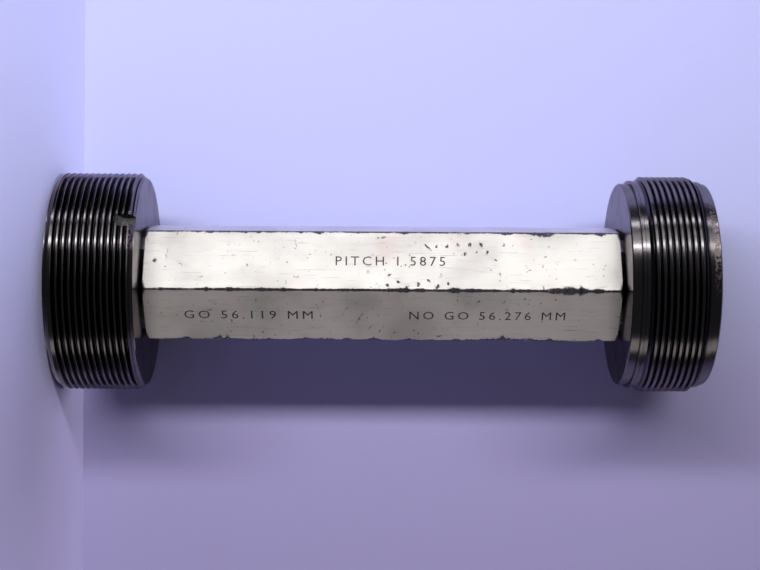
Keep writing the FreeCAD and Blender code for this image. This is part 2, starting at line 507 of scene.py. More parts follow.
def settle(piece: Object) -> None:
    """Makes the result of a piece's modifiers its own mesh, and removes them."""
    mesh = evaluated_mesh(piece)
    piece.modifiers.clear()
    old = piece.data
    piece.data = mesh
    bpy.data.meshes.remove(old)


class Join(Enum):
    """How a tool is joined to a piece."""

    CUT = "DIFFERENCE"
    ADD = "UNION"


def combine(piece: Object, tool: Object, how: Join) -> None:
    """Cuts a tool from a piece or adds it, and removes the tool.

    Args:
        piece: The closed piece that changes.
        tool: The closed tool. Its materials go with its faces.
        how: Whether it is cut away or added.
    """
    modifier = piece.modifiers.new(how.name, "BOOLEAN")
    modifier.operation = how.value
    modifier.solver = "EXACT"
    modifier.material_mode = "TRANSFER"
    modifier.object = tool
    settle(piece)
    mesh = tool.data
    bpy.data.objects.remove(tool)
    bpy.data.meshes.remove(mesh)


def cleaned(piece: Object, crease: float) -> None:
    """Merges doubled points and shades the piece smooth.

    Args:
        piece: The piece.
        crease: The angle from which an edge stays sharp.
    """
    work = bmesh.new()
    work.from_mesh(piece.data)
    bmesh.ops.remove_doubles(work, verts=work.verts, dist=MERGED * MM)
    bmesh.ops.dissolve_degenerate(work, edges=work.edges, dist=DEGENERATE * MM)
    work.to_mesh(piece.data)
    work.free()
    piece.data.shade_smooth()
    piece.data.set_sharp_from_angle(angle=math.radians(crease))


def flipped(height: float) -> Matrix:
    """The move that mirrors a tool through height zero and then raises it to a height."""
    return Matrix.Translation((0, 0, height * MM)) @ Matrix.Diagonal((1, 1, -1, 1))


def tube(rings: int, count: int) -> Faces:
    """The four-sided faces between rings of points that follow one another."""
    return [
        (low + step, low + (step + 1) % count, low + count + (step + 1) % count, low + count + step)
        for low in range(0, (rings - 1) * count, count)
        for step in range(count)
    ]


def turned(name: str, outline: list[Pair], segments: int) -> Object:
    """The ring that a closed outline sweeps about +Z.

    Args:
        name: The piece's name.
        outline: Its (radius, height) points.
        segments: How many steps a turn has. The first lies half a step past +X.

    Returns:
        The closed piece.
    """
    points = []
    for step in range(segments):
        angle = math.tau * (step + 0.5) / segments
        points += [Vector((r * math.cos(angle), r * math.sin(angle), z)) for r, z in outline]
    count = len(outline)
    faces = []
    for step in range(segments):
        here, there = step * count, (step + 1) % segments * count
        for row in range(count):
            after = (row + 1) % count
            faces.append((here + row, there + row, there + after, here + after))
    return from_points(name, points, faces)


def turned_solid(name: str, outline: list[Pair], segments: int) -> Object:
    """The closed solid under an outline that sweeps about +Z.

    Args:
        name: The piece's name.
        outline: Its (radius, height) points, from the lowest to the highest.
        segments: How many steps a turn has.

    Returns:
        The closed piece.
    """
    turns = [math.tau * step / segments for step in range(segments)]
    points = [Vector((r * math.cos(turn), r * math.sin(turn), z)) for r, z in outline for turn in turns]
    ends = [tuple(range(segments)), tuple(range(len(points) - segments, len(points)))]
    return from_points(name, points, ends + tube(len(outline), segments))


def block(name: str, corners: list[Vector]) -> Object:
    """A six-sided solid from its four lower and four upper corners, each four in turn."""
    return from_points(name, corners, [(3, 2, 1, 0), (4, 5, 6, 7), *tube(2, 4)])


class Recipe(Graph):
    """A Geometry Nodes tree with named inputs, for a modifier."""

    def __init__(self, name: str, sizes: dict[str, float]) -> None:
        """Starts a tree.

        Args:
            name: The tree's name.
            sizes: The named inputs and their values. A whole number makes an integer input.
        """
        super().__init__(bpy.data.node_groups.new(name, "GeometryNodeTree"))
        face = self.tree.interface
        face.new_socket("Geometry", in_out="INPUT", socket_type="NodeSocketGeometry")
        face.new_socket("Geometry", in_out="OUTPUT", socket_type="NodeSocketGeometry")
        self.sizes = sizes
        self.named = {}
        for key, value in sizes.items():
            kind = "NodeSocketInt" if isinstance(value, int) else "NodeSocketFloat"
            self.named[key] = face.new_socket(key, in_out="INPUT", socket_type=kind).identifier
        self.named["Material"] = face.new_socket(
            "Material", in_out="INPUT", socket_type="NodeSocketMaterial"
        ).identifier
        self.start = self.node("NodeGroupInput")

    def size(self, name: str) -> Signal:
        """One of the named inputs."""
        return Signal(self, self.start.outputs[name])

    def vector(self, x: object = 0.0, y: object = 0.0, z: object = 0.0) -> NodeSocket:
        """A vector from three numbers or signals."""
        return self.out("ShaderNodeCombineXYZ", {0: x, 1: y, 2: z})

    def finish(self, geometry: NodeSocket) -> None:
        """Ends the tree in Realize Instances and Set Material."""
        real = self.out("GeometryNodeRealizeInstances", {0: geometry})
        inputs = {"Geometry": real, "Material": self.start.outputs["Material"]}
        self.node("NodeGroupOutput", {0: self.out("GeometryNodeSetMaterial", inputs)})

    def run(self, piece: Object, material: Material) -> None:
        """Runs the tree on a piece and makes the result its mesh."""
        modifier = piece.modifiers.new("recipe", "NODES")
        modifier.node_group = self.tree
        for key, value in self.sizes.items():
            modifier[self.named[key]] = value
        modifier[self.named["Material"]] = material
        settle(piece)


def around_axis(piece: Object, copies: int, first: float, material: Material) -> None:
    """Repeats a piece evenly about +Z.

    Args:
        piece: The piece, which lies along +X.
        copies: How many there are in the end.
        first: The direction of the first.
        material: The finish of all of them.
    """
    recipe = Recipe("around_axis", {"Count": copies, "First Angle": math.radians(first)})
    count = recipe.size("Count")
    points = recipe.out("GeometryNodePoints", {"Count": count})
    index = recipe.signal("GeometryNodeInputIndex")
    turn = recipe.size("First Angle") + index * math.tau / count
    placed = recipe.out("GeometryNodeInstanceOnPoints", {
        "Points": points,
        "Instance": recipe.start.outputs["Geometry"],
        "Rotation": recipe.vector(z=turn),
    })
    recipe.finish(placed)
    recipe.run(piece, material)


# -------------------------------------------------------------------- thread


@dataclass(frozen=True)
class Thread:
    """A right-hand 60 degree external thread, as the groove that is ground to make it.

    The flat on its crest is the pitch divided by crest_share. At each end the groove rises out of the
    metal, to a clearance over the crest, within the run, which is in turns.
    """

    pitch_diameter: float
    crest_share: int
    start_angle: float
    start_height: float
    turns: float
    pitch: float = 1.5875
    root_flat: float = 0.09
    run: float = 0.001
    clearance: float = 0.05
    segments: int = 220

    @property
    def slope(self) -> float:
        """Half width of the groove for each millimetre of depth."""
        return math.tan(math.radians(30))

    @property
    def root(self) -> float:
        """Radius of the root, as if it were sharp."""
        return self.pitch_diameter / 2 - self.pitch / 4 / self.slope

    @property
    def crest_flat(self) -> float:
        """Width of the flat on the crest."""
        return self.pitch / self.crest_share

    @property
    def crest(self) -> float:
        """Radius of the crest."""
        return self.root + (self.pitch - self.crest_flat) / 2 / self.slope

    def groove(self, material: Material) -> Object:
        """The helical tool that cuts the groove.

        Args:
            material: The finish of the groove.

        Returns:
            The closed tool, placed on its plug.
        """
        proud = self.crest_flat / 4 / self.slope
        depth = self.crest + proud - self.root
        sizes = {
            "Pitch": self.pitch * MM,
            "Turns": self.turns,
            "Root Radius": self.root * MM,
            "Depth": depth * MM,
            "Half Mouth": depth * self.slope * MM,
            "Half Root Flat": self.root_flat / 2 * MM,
            "Rise": (self.crest - self.root + self.clearance) * MM,
            "Run Turns": self.run,
            "Start Angle": math.radians(self.start_angle),
            "Start Height": self.start_height * MM,
            "Segments": int(self.segments * self.turns),
        }
        recipe = Recipe("helical_groove", sizes)
        size = recipe.size
        turns, segments, run = size("Turns"), size("Segments"), size("Run Turns")
        line = recipe.out("GeometryNodeCurvePrimitiveLine")
        path = recipe.out("GeometryNodeResampleCurve", {"Curve": line, "Count": segments + 1})
        done = recipe.signal("GeometryNodeInputIndex") / segments * turns
        rise_in = 1 - (done / run).apply("MINIMUM", 1.0)
        rise_out = 1 - ((turns - done) / run).apply("MINIMUM", 1.0)
        radius = size("Root Radius") + (rise_in + rise_out) * size("Rise")
        angle = size("Start Angle") + done * math.tau
        place = recipe.vector(
            radius * angle.apply("COSINE"),
            radius * angle.apply("SINE"),
            size("Start Height") + done * size("Pitch"),
        )
        helix = recipe.out("GeometryNodeSetPosition", {"Geometry": path, "Position": place})
        upright = recipe.out("GeometryNodeSetCurveNormal", {"Curve": helix}, mode="Z_UP")
        vee = recipe.node("GeometryNodeCurvePrimitiveQuadrilateral", mode="POINTS")
        flat, mouth, deep = size("Half Root Flat"), size("Half Mouth"), size("Depth")
        corners = ((0.0, flat * -1), (0.0, flat), (deep, mouth), (deep, mouth * -1))
        for number, corner in enumerate([recipe.vector(*corner) for corner in corners], start=1):
            recipe.feed(vee.inputs[f"Point {number}"], corner)
        inputs = {"Curve": upright, "Profile Curve": vee.outputs[0], "Fill Caps": True}
        recipe.finish(recipe.out("GeometryNodeCurveToMesh", inputs))
        tool = new_piece("groove_tool", bpy.data.meshes.new("groove_tool"))
        recipe.run(tool, material)
        outward(tool.data)
        return tool


# --------------------------------------------------------------------- plugs


@dataclass(frozen=True)
class Locking:
    """The wedge prongs of the handle and the grooves in the plugs' faces that they seat in.

    Tools and prongs reach past the face that they start from by the overlap.
    """

    corner_angle: float = -83.3
    flank: float = 15.0
    count: int = 3
    prong_inner: float = 7.2
    prong_outer: float = 12.4
    engagement: float = 1.9
    groove_width: float = 5.2
    groove_inner: float = 0.5
    groove_outer: float = 13.3
    groove_depth: float = 2.4
    face_gap: float = 0.76
    overlap: float = 1.0

    @property
    def first_angle(self) -> float:
        """Direction of the first prong. They stand over every second corner of the handle."""
        return self.corner_angle + 60

    def wedge(self, name: str, inner: float, outer: float, bottom: float, top: float) -> Object:
        """A bar along +X whose flanks lean in as it rises, as wide as a groove at height zero.

        Args:
            name: Its name.
            inner: Where it starts along +X.
            outer: Where it ends.
            bottom: The height of its lower face.
            top: The height of its upper face.

        Returns:
            The closed bar.
        """
        lean = math.tan(math.radians(self.flank))
        corners = []
        for height in (bottom, top):
            half = self.groove_width / 2 - height * lean
            plan = ((inner, -half), (outer, -half), (outer, half), (inner, half))
            corners += [Vector((x, y, height)) for x, y in plan]
        return block(name, corners)


@dataclass(frozen=True)
class Bore:
    """The screw hole of a plug, with the same counterbore from each face."""

    hole: float = 4.369
    counterbore: float = 6.353
    depth: float = 8.288
    chamfer: float = 0.5

    def outline(self, width: float) -> list[Pair]:
        """Points down the inside of a plug, from its top face to height zero."""
        half = [
            (self.counterbore + self.chamfer, 0.0),
            (self.counterbore, self.chamfer),
            (self.counterbore, self.depth),
            (self.hole, self.depth),
        ]
        return [(radius, width - height) for radius, height in half] + half[::-1]


@dataclass
class Plug:
    """One plug: a turned ring with a ground helical thread, a bore and locking grooves.

    Its base is the height of its lower face above the floor. Its finish is threaded between two
    heights above the floor.
    """

    name: str
    node: str
    slot: str
    base: float
    thread: Thread
    threaded: Pair
    stain_and_sheen: StainAndSheen
    width: float = 22.45
    lock: Locking = Locking()
    bore: Bore = Bore()
    segments: int = 256
    crease: float = 30.0

    def outline(self) -> list[Pair]:
        """The outside of the plug, from height zero up, as (radius, height) points."""
        raise NotImplementedError

    def chip_grooves(self) -> list[Object]:
        """The tools that cut the chip grooves, with the plug's lower face at height zero."""
        return []

    def build(self) -> Object:
        """Returns:
            The finished piece.
        """
        thread, lock = self.thread, self.lock
        material = PlugSteel(self.slot, self.threaded, thread.root, thread.crest, self.stain_and_sheen).make()
        milled = MilledSteel(self.slot + "_milled").make()
        piece = turned(self.name, self.outline() + self.bore.outline(self.width), self.segments)
        piece.data.materials.append(material)
        combine(piece, thread.groove(material), Join.CUT)
        for tool in self.chip_grooves():
            tool.data.materials.append(milled)
            combine(piece, tool, Join.CUT)
        spans = (lock.groove_inner, lock.groove_outer, -lock.overlap, lock.groove_depth)
        for upside_down in (False, True):
            wedge = lock.wedge("locking_groove", *spans)
            around_axis(wedge, lock.count, lock.first_angle, milled)
            if upside_down:
                wedge.data.transform(flipped(self.width))
                wedge.data.flip_normals()
            combine(piece, wedge, Join.CUT)
        piece.data.transform(Matrix.Translation((0, 0, self.base * MM)))
        cleaned(piece, self.crease)
        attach(piece, BODY)
        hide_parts(self.node)
        LOG.info("%s: %d faces", piece.name, len(piece.data.polygons))
        return piece


@dataclass
class GoPlug(Plug):
    """The GO plug, threaded between two chamfers, with a chip groove across each thread end."""

    name: str = "go_plug_ground"
    node: str = "go_plug"
    slot: str = "go_plug_steel"
    base: float = 0.0
    thread: Thread = Thread(
        pitch_diameter=56.119, crest_share=8, start_angle=68.7, start_height=1.93, turns=12.466
    )
    threaded: Pair = (0.7, 21.75)
    stain_and_sheen: StainAndSheen = StainAndSheen(low=20.6, high=22.1, angle=-117.0, spread=14.0)
    rim_land: float = 0.2
    rim_drop: float = 0.2
    chip_width: float = 3.0
    chip_depth: float = 1.9
    chip_length: float = 5.2
    chip_cutter: float = 4.0
    inner_chip_angle: float = -123.5
    outer_chip_angle: float = 68.7
    chip_overlap: float = 1.0
    arc_steps: int = 12

    def outline(self) -> list[Pair]:
        """Two rims and two 45 degree chamfers up to the crests."""
        crest, rim = self.thread.crest, self.thread.root - self.rim_drop
        half = [(rim, 0.0), (rim, self.rim_land), (crest, self.rim_land + crest - rim)]
        return half + [(radius, self.width - height) for radius, height in half[::-1]]

    def chip_groove(self, angle: float, upside_down: bool) -> Object:
        """A milled slot across the thread, with the round end that its cutter leaves.

        Args:
            angle: Its direction.
            upside_down: Whether it starts at the upper face.

        Returns:
            The closed tool.
        """
        cutter = self.chip_cutter
        floor = self.thread.crest - self.chip_depth
        lift = cutter - self.chip_depth
        flat = self.chip_length - math.sqrt(cutter**2 - lift**2)
        side = [(floor, -self.chip_overlap), (floor, flat)]
        for step in range(1, self.arc_steps + 1):
            swing = math.radians(90 * step / self.arc_steps)
            side.append((floor + cutter * (1 - math.cos(swing)), flat + cutter * math.sin(swing)))
        side.append((floor + cutter, -self.chip_overlap))
        half, count = self.chip_width / 2, len(side)
        points = [Vector((r, y, z)) for y in (-half, half) for r, z in side]
        ends = [tuple(range(count)), tuple(range(2 * count - 1, count - 1, -1))]
        tool = from_points("chip_groove", points, ends + tube(2, count))
        turn = Matrix.Rotation(math.radians(angle), 4, "Z")
        tool.data.transform(flipped(self.width) @ turn if upside_down else turn)
        outward(tool.data)
        return tool

    def chip_grooves(self) -> list[Object]:
        """One slot from each face."""
        return [
            self.chip_groove(self.outer_chip_angle, False),
            self.chip_groove(self.inner_chip_angle, True),
        ]


@dataclass
class NoGoPlug(Plug):
    """The NO GO plug: a short thread between two plain lands, with a pilot at each face."""

    name: str = "no_go_plug_ground"
    node: str = "no_go_plug"
    slot: str = "no_go_plug_steel"
    base: float = 146.87
    thread: Thread = Thread(
        pitch_diameter=56.276, crest_share=4, start_angle=38.4, start_height=4.45, turns=9.2
    )
    threaded: Pair = (151.3, 166.3)
    stain_and_sheen: StainAndSheen = StainAndSheen(low=167.3, high=168.9, angle=-112.0, spread=34.0)
    pilot: float = 26.65
    edge_break: float = 0.3
    inner_pilot: float = 2.5
    collar: float = 27.48
    collar_length: float = 1.0
    collar_break: float = 0.12
    inner_land: float = 0.95
    outer_land: float = 1.57
    outer_pilot: float = 1.82
    land_drop: float = 0.15

    def outline(self) -> list[Pair]:
        """Pilot, collar, land, thread, land and pilot, from the handle outwards."""
        crest, land = self.thread.crest, self.thread.root - self.land_drop
        collar_low, collar_top = self.inner_pilot, self.inner_pilot + self.collar_length
        thread_low = collar_top + self.inner_land
        pilot_low = self.width - self.outer_pilot
        thread_high = pilot_low - self.outer_land
        rise = crest - land
        return [
            (self.pilot - self.edge_break, 0.0),
            (self.pilot, self.edge_break),
            (self.pilot, collar_low),
            (self.collar - self.collar_break, collar_low),
            (self.collar, collar_low + self.collar_break),
            (self.collar, collar_top - self.collar_break),
            (self.collar - self.collar_break, collar_top),
            (land, collar_top),
            (land, thread_low),
            (crest, thread_low + rise),
            (crest, thread_high - rise),
            (land, thread_high),
            (land, pilot_low),
            (self.pilot, pilot_low),
            (self.pilot, self.width - self.edge_break),
            (self.pilot - self.edge_break, self.width),
        ]


# -------------------------------------------------------------------- handle


class Side(Enum):
    """The faces of the handle that carry marks, by the corner that they start from."""

    UPPER = -1
    LOWER = 0
    TOP = -2


@dataclass(frozen=True)
class Dent:
    """A shallow oval dent in a face of the handle."""

    side: Side
    along: float
    across: float
    length: float
    width: float
    tilt: float = 0.0
    depth: float = 0.15

    def drop(self, along: float, across: float) -> float:
        """How deep the dent is at a place on its face, with a low rim round it.

        Args:
            along: Height above the floor.
            across: Distance from the corner that the face is measured from.

        Returns:
            The depth, which is below zero on the rim.
        """
        turn = math.radians(self.tilt)
        a, b = along - self.along, across - self.across
        u = (a * math.cos(turn) + b * math.sin(turn)) / (self.length / 2)
        v = (b * math.cos(turn) - a * math.sin(turn)) / (self.width / 2)
        far = math.hypot(u, v)
        if far > DENT_REACH:
            return 0.0
        if far > 1.0:
            return -self.depth * DENT_RIM * math.sin((far - 1.0) * math.tau)
        return self.depth * (1 - far * far) ** 2


@dataclass(frozen=True)
class Chip:
    """A stretch of a corner that is worn further than the rest."""

    corner: int
    low: float
    high: float
    depth: float

    def wear(self, along: float) -> float:
        """The extra wear at a height above the floor."""
        if not self.low < along < self.high:
            return 0.0
        share = (along - self.low) / (self.high - self.low)
        return self.depth * math.sin(math.pi * share) ** CHIP_ROUNDNESS


@dataclass(frozen=True)
class Stamp:
    """A line of plain stamped characters on a face of the handle, from a low to a high place."""

    side: Side
    words: str
    low: float
    high: float
    across: float
    tall: float = 2.7
    deep: float = 0.16
    spacing: float = 1.35


@dataclass(frozen=True)
class HexHandle:
    """The hexagon handle, with worn corners, dents, stamped lines, prongs and tapped holes.

    Corners are worn by corner_wear, give or take some noise, and by at least least_wear. The noise is
    coarse, fine, and a share of each chip's own depth, each as (pace, height). It is read along the
    bar at noise_pace, on lines noise_lines apart. Small chips start at least chip_margins from the two
    ends. Painted shade darkens a corner to a distance of painted_corner_shade_width, and a dent
    painted_dent_shade times as fast as it deepens, up to painted_dent_darkest.
    """

    across_flats: float = 28.575
    length: float = 122.9
    base: float = 23.21
    chamfer_across: float = 0.9
    chamfer_along: float = 0.7
    tapped_radius: float = 4.019
    tapped_depth: float = 21.0
    countersink: float = 0.8
    tap_segments: int = 48
    rows: int = 330
    small_chips: int = 30
    chip_margins: Pair = (1.0, 4.0)
    chip_lengths: Pair = (0.5, 2.6)
    chip_depths: Pair = (0.04, 0.22)
    corner_wear: float = 0.15
    least_wear: float = 0.03
    wear_noise: tuple[Pair, ...] = ((0.4, 0.08), (2.1, 0.07), (3.4, 1.1))
    noise_pace: float = 0.55
    noise_lines: float = 7.3
    # how far painted shade reaches from a corner, and how fast and how dark a dent is painted as shade
    painted_corner_shade_width: float = 1.3
    painted_dent_shade: float = 8.0
    painted_dent_darkest: float = 0.95
    crease: float = 24.0
    seed: int = 7
    lock: Locking = Locking()

    stamps: tuple[Stamp, ...] = (
        Stamp(Side.UPPER, "PITCH 1.5875", 72.5, 100.7, 8.0),
        Stamp(Side.LOWER, "GO 56.119 MM", 33.5, 66.7, 8.3),
        Stamp(Side.LOWER, "NO GO 56.276 MM", 91.6, 131.9, 8.3),
    )
    dents: tuple[Dent, ...] = (
        *(Dent(Side.UPPER, *row) for row in (
            (25.9, 8.0, 1.5, 1.4, 0.0, 0.16), (28.8, 9.6, 5.0, 0.5, 80.0, 0.10),
            (32.3, 7.3, 3.8, 0.55, -35.0, 0.12), (34.0, 6.2, 1.6, 0.7, 20.0, 0.10),
            (44.7, 12.5, 1.1, 0.8, 10.0, 0.14), (101.3, 12.5, 1.9, 1.2, 66.0),
            (104.1, 12.8, 1.8, 1.1, -62.0), (107.2, 13.0, 2.0, 1.4, 60.0),
            (110.1, 13.0, 1.9, 1.2, -58.0), (105.9, 10.4, 1.8, 1.1, 64.0),
            (111.7, 10.8, 1.7, 1.0, 55.0), (113.7, 8.7, 1.4, 0.8, -40.0),
            (103.0, 10.5, 1.2, 0.7, 50.0), (108.9, 10.9, 1.1, 0.6, 60.0),
            (98.6, 12.6, 1.9, 0.7, 75.0), (102.6, 14.6, 1.2, 0.9, 20.0),
            (96.3, 12.2, 3.6, 0.7, -48.0), (86.3, 4.2, 1.6, 1.2, 40.0),
            (88.6, 2.5, 1.6, 1.0, -45.0), (85.8, 1.6, 1.6, 1.1, -50.0), (93.8, 1.7, 1.9, 1.2, 85.0),
            (96.5, 2.7, 1.7, 0.9, -35.0), (98.7, 1.1, 1.9, 1.2, 60.0), (90.9, 1.0, 1.5, 1.0, 60.0),
            (101.5, 1.9, 1.4, 0.8, 88.0), (83.9, 4.5, 1.1, 0.6, -30.0),
            (112.0, 6.0, 2.4, 0.5, -8.0), (122.1, 5.6, 2.0, 0.6, 35.0, 0.10),
        )),
        *(Dent(Side.LOWER, *row) for row in (
            (75.0, 6.8, 5.2, 0.6, -58.0, 0.10), (78.6, 9.4, 6.0, 0.55, -62.0, 0.09),
            (81.7, 12.0, 3.5, 0.6, -48.0, 0.10), (116.8, 6.2, 1.4, 0.9, 15.0, 0.14),
        )),
        *(Dent(Side.TOP, *row) for row in (
            (62.0, 9.0, 2.2, 1.1, 20.0, 0.14), (101.0, 5.0, 2.6, 0.9, -35.0, 0.13),
        )),
    )
    chips: tuple[Chip, ...] = (
        Chip(0, 126.4, 135.8, 0.24),
        Chip(0, 52.0, 55.0, 0.10),
        Chip(0, 86.0, 91.0, 0.12),
        Chip(0, 107.5, 110.0, 0.10),
        Chip(-1, 122.6, 129.2, 0.42),
        Chip(-1, 47.0, 49.6, 0.12),
        Chip(1, 37.8, 48.0, 0.20),
        Chip(1, 60.9, 72.5, 0.22),
        Chip(1, 106.0, 130.4, 0.26),
    )

    @property
    def corner_radius(self) -> float:
        """Distance of a sharp corner from the axis."""
        return self.across_flats / math.sqrt(3)

    @property
    def face_width(self) -> float:
        """Width of a face, which equals the corner's radius on a hexagon."""
        return self.corner_radius

    def steps_across(self) -> list[float]:
        """Distances from one corner to the next, close together at both ends."""
        near = [0.0, 0.14, 0.28, 0.42, 0.58, 0.8, 1.1, 1.6, 2.2]
        middle_start, middle_step = 2.65, 0.45
        half = near + [middle_start + middle_step * step for step in range(13)]
        return half + [self.face_width - value for value in reversed(half[1:])]

    def corner(self, number: int) -> Vector:
        """A sharp corner of the section. Corner 0 faces the camera, and they go round with the angle."""
        angle = math.radians(self.lock.corner_angle + 60 * number)
        return Vector((math.cos(angle), math.sin(angle), 0.0)) * self.corner_radius

    def wear(self, number: int, along: float) -> float:
        """How far a corner is worn down.

        Args:
            number: The corner, from 0 to 5.
            along: Height above the floor.

        Returns:
            The depth, measured towards the axis.
        """
        # each corner reads its own line of the noise
        spot = Vector((along * self.noise_pace, number * self.noise_lines + self.seed, 0.0))
        coarse, fine, rough = (noise.noise(spot * pace) * height for pace, height in self.wear_noise)
        signed = number if number <= 3 else number - 6
        extra = sum(chip.wear(along) for chip in self.all_chips() if chip.corner == signed)
        return max(self.least_wear, self.corner_wear + coarse + fine + extra + rough * extra)

    @cache
    def all_chips(self) -> tuple[Chip, ...]:
        """The chips that are listed, and small ones scattered along every corner."""
        draw = random.Random(self.seed)
        small = []
        for corner in range(-2, 4):
            for _ in range(self.small_chips):
                low = self.base + draw.uniform(self.chip_margins[0], self.length - self.chip_margins[1])
                high = low + draw.uniform(*self.chip_lengths)
                small.append(Chip(corner, low, high, draw.uniform(*self.chip_depths)))
        return (*self.chips, *small)

    def skin_point(self, number: int, across: float, height: float) -> tuple[Vector, float]:
        """A point of the worn surface.

        Args:
            number: The corner that the face starts from.
            across: Distance from that corner along the face.
            height: Height over the lower end of the bar.

        Returns:
            The point, over the lower end of the bar, and how dark the handle's finish paints it as
            shade, from 0 to 1.
        """
        start, end = self.corner(number), self.corner(number + 1)
        point = start.lerp(end, across / self.face_width)
        normal = (start + end).normalized()
        along = height + self.base
        marked = 0.0
        for dent in self.dents:
            # marks are placed from the corner nearest the camera, so the upper faces run backwards
            if dent.side.value % 6 == number:
                place = across if dent.side is Side.LOWER else self.face_width - across
                drop = dent.drop(along, place)
                point -= normal * drop
                marked = max(marked, drop / dent.depth)
        nearest = number if across < self.face_width / 2 else number + 1
        direction = self.corner(nearest).normalized()
        limit = self.corner_radius - self.wear(nearest % 6, along)
        reach = point.dot(direction)
        distance = min(across, self.face_width - across)
        # painted shade: near the corners, in the dents and on the worn corner facets
        worn = max(1.0 - distance / self.painted_corner_shade_width, min(marked * self.painted_dent_shade, self.painted_dent_darkest), 0.0)
        if reach > limit:
            point -= direction * (reach - limit)
            worn = 1.0
        end_gap = min(height, self.length - height)
        cut = self.chamfer_across * (1 - min(end_gap / self.chamfer_along, 1.0))
        cone = self.corner_radius - cut
        radius = math.hypot(point.x, point.y)
        if radius > cone:
            point *= cone / radius
        point.z = height
        return point, worn

    def bar(self) -> Object:
        """The bar, closed by its two flat ends, with the painted shade of its worn corners and dents
        stored at its points.
        """
        across = self.steps_across()[:-1]
        ends = [self.chamfer_along * step / 3 for step in range(4)]
        inner = self.length - 2 * ends[-1]
        heights = ends + [ends[-1] + inner * step / self.rows for step in range(1, self.rows)]
        heights += [self.length - value for value in reversed(ends)]
        skin = [
            self.skin_point(number, value, height)
            for height in heights for number in range(6) for value in across
        ]
        ring = 6 * len(across)
        faces = tube(len(heights), ring)
        faces += [tuple(range(ring)), tuple(range(len(skin) - ring, len(skin)))]
        piece = from_points("hex_handle_worn", [point for point, _ in skin], faces)
        layer = piece.data.attributes.new(PAINTED_SHADE_LAYER, "FLOAT", "POINT")
        layer.data.foreach_set("value", [worn for _, worn in skin])
        return piece

    def lettering(self, stamp: Stamp, material: Material) -> Object:
        """The solid characters of a stamped line, sunk into their face.

        Args:
            stamp: The line.
            material: The finish of its floors and walls.

        Returns:
            The closed tool, over the lower end of the bar.
        """
        words = bpy.data.curves.new("stamp", "FONT")
        words.body = stamp.words
        words.size = stamp.tall / CAPITAL_SHARE
        words.extrude = stamp.deep
        words.resolution_u = 2
        words.align_x = "CENTER"
        words.align_y = "CENTER"
        words.space_character = stamp.spacing
        shape = new_piece("stamp", words)
        mesh = evaluated_mesh(shape)
        bpy.data.objects.remove(shape)
        bpy.data.curves.remove(words)
        xs = [vertex.co.x for vertex in mesh.vertices]
        stretch = (stamp.high - stamp.low) / (max(xs) - min(xs))
        tool = new_piece("stamp_tool", mesh)
        work = bmesh.new()
        work.from_mesh(mesh)
        bmesh.ops.remove_doubles(work, verts=work.verts, dist=LETTER_MERGED)
        work.to_mesh(mesh)
        work.free()
        outward(mesh)
        number = stamp.side.value % 6
        far = self.corner(1 if stamp.side is Side.LOWER else -1)
        middle = self.corner(0).lerp(far, stamp.across / self.face_width)
        normal = (self.corner(number) + self.corner(number + 1)).normalized()
        along = Vector((0.0, 0.0, 1.0))
        place = Matrix((along, normal.cross(along), normal)).transposed().to_4x4()
        place.translation = middle + along * ((stamp.low + stamp.high) / 2 - self.base)
        grow = Matrix.Diagonal((stretch, 1.0, 1.0, 1.0))
        mesh.transform(Matrix.Scale(MM, 4) @ place @ grow)
        mesh.materials.clear()
        mesh.materials.append(material)
        return tool

    def build(self) -> Object:
        """Returns:
            The finished piece.
        """
        metal, stamp_finish = HandleMetal().make(), DarkStampedFinish().make()
        piece = self.bar()
        piece.data.materials.append(metal)
        for stamp in self.stamps:
            combine(piece, self.lettering(stamp, stamp_finish), Join.CUT)
        lock = self.lock
        upper = Matrix.Translation((0, 0, (self.length + lock.face_gap) * MM))
        for move in (flipped(-lock.face_gap), upper):
            # a prong is as wide as its groove where it enters the plug
            bottom = -lock.overlap - lock.face_gap
            prong = lock.wedge("prong", lock.prong_inner, lock.prong_outer, bottom, lock.engagement)
            around_axis(prong, lock.count, lock.first_angle, metal)
            prong.data.transform(move)
            outward(prong.data)
            combine(piece, prong, Join.ADD)
        mouth = (self.tapped_radius + self.countersink + TAP_OVERLAP, -TAP_OVERLAP)
        hole = [mouth, (self.tapped_radius, self.countersink), (self.tapped_radius, self.tapped_depth)]
        for move in (Matrix.Identity(4), flipped(self.length)):
            tool = turned_solid("tapped_hole", hole, self.tap_segments)
            tool.data.transform(move)
            outward(tool.data)
            tool.data.materials.append(metal)
            combine(piece, tool, Join.CUT)
        piece.data.transform(Matrix.Translation((0, 0, self.base * MM)))
        cleaned(piece, self.crease)
        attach(piece, BODY)
        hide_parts("hex_handle")
        LOG.info("%s: %d faces", piece.name, len(piece.data.polygons))
        return piece


# -------------------------------------------------------------------- screws


@dataclass
class CapScrews:
    """The two cap screws, which keep their CAD shape."""

    nodes: tuple[str, ...] = ("go_screw", "no_go_screw")

    def build(self) -> None:
        """Gives both screws their finish."""
        material = BlackOxide().make()
        for node in self.nodes:
            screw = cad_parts[node]
            screw.data.materials.clear()
            screw.data.materials.append(material)
            LOG.info("%s: kept from the CAD model", node)


# --------------------------------------------------------------------- stage


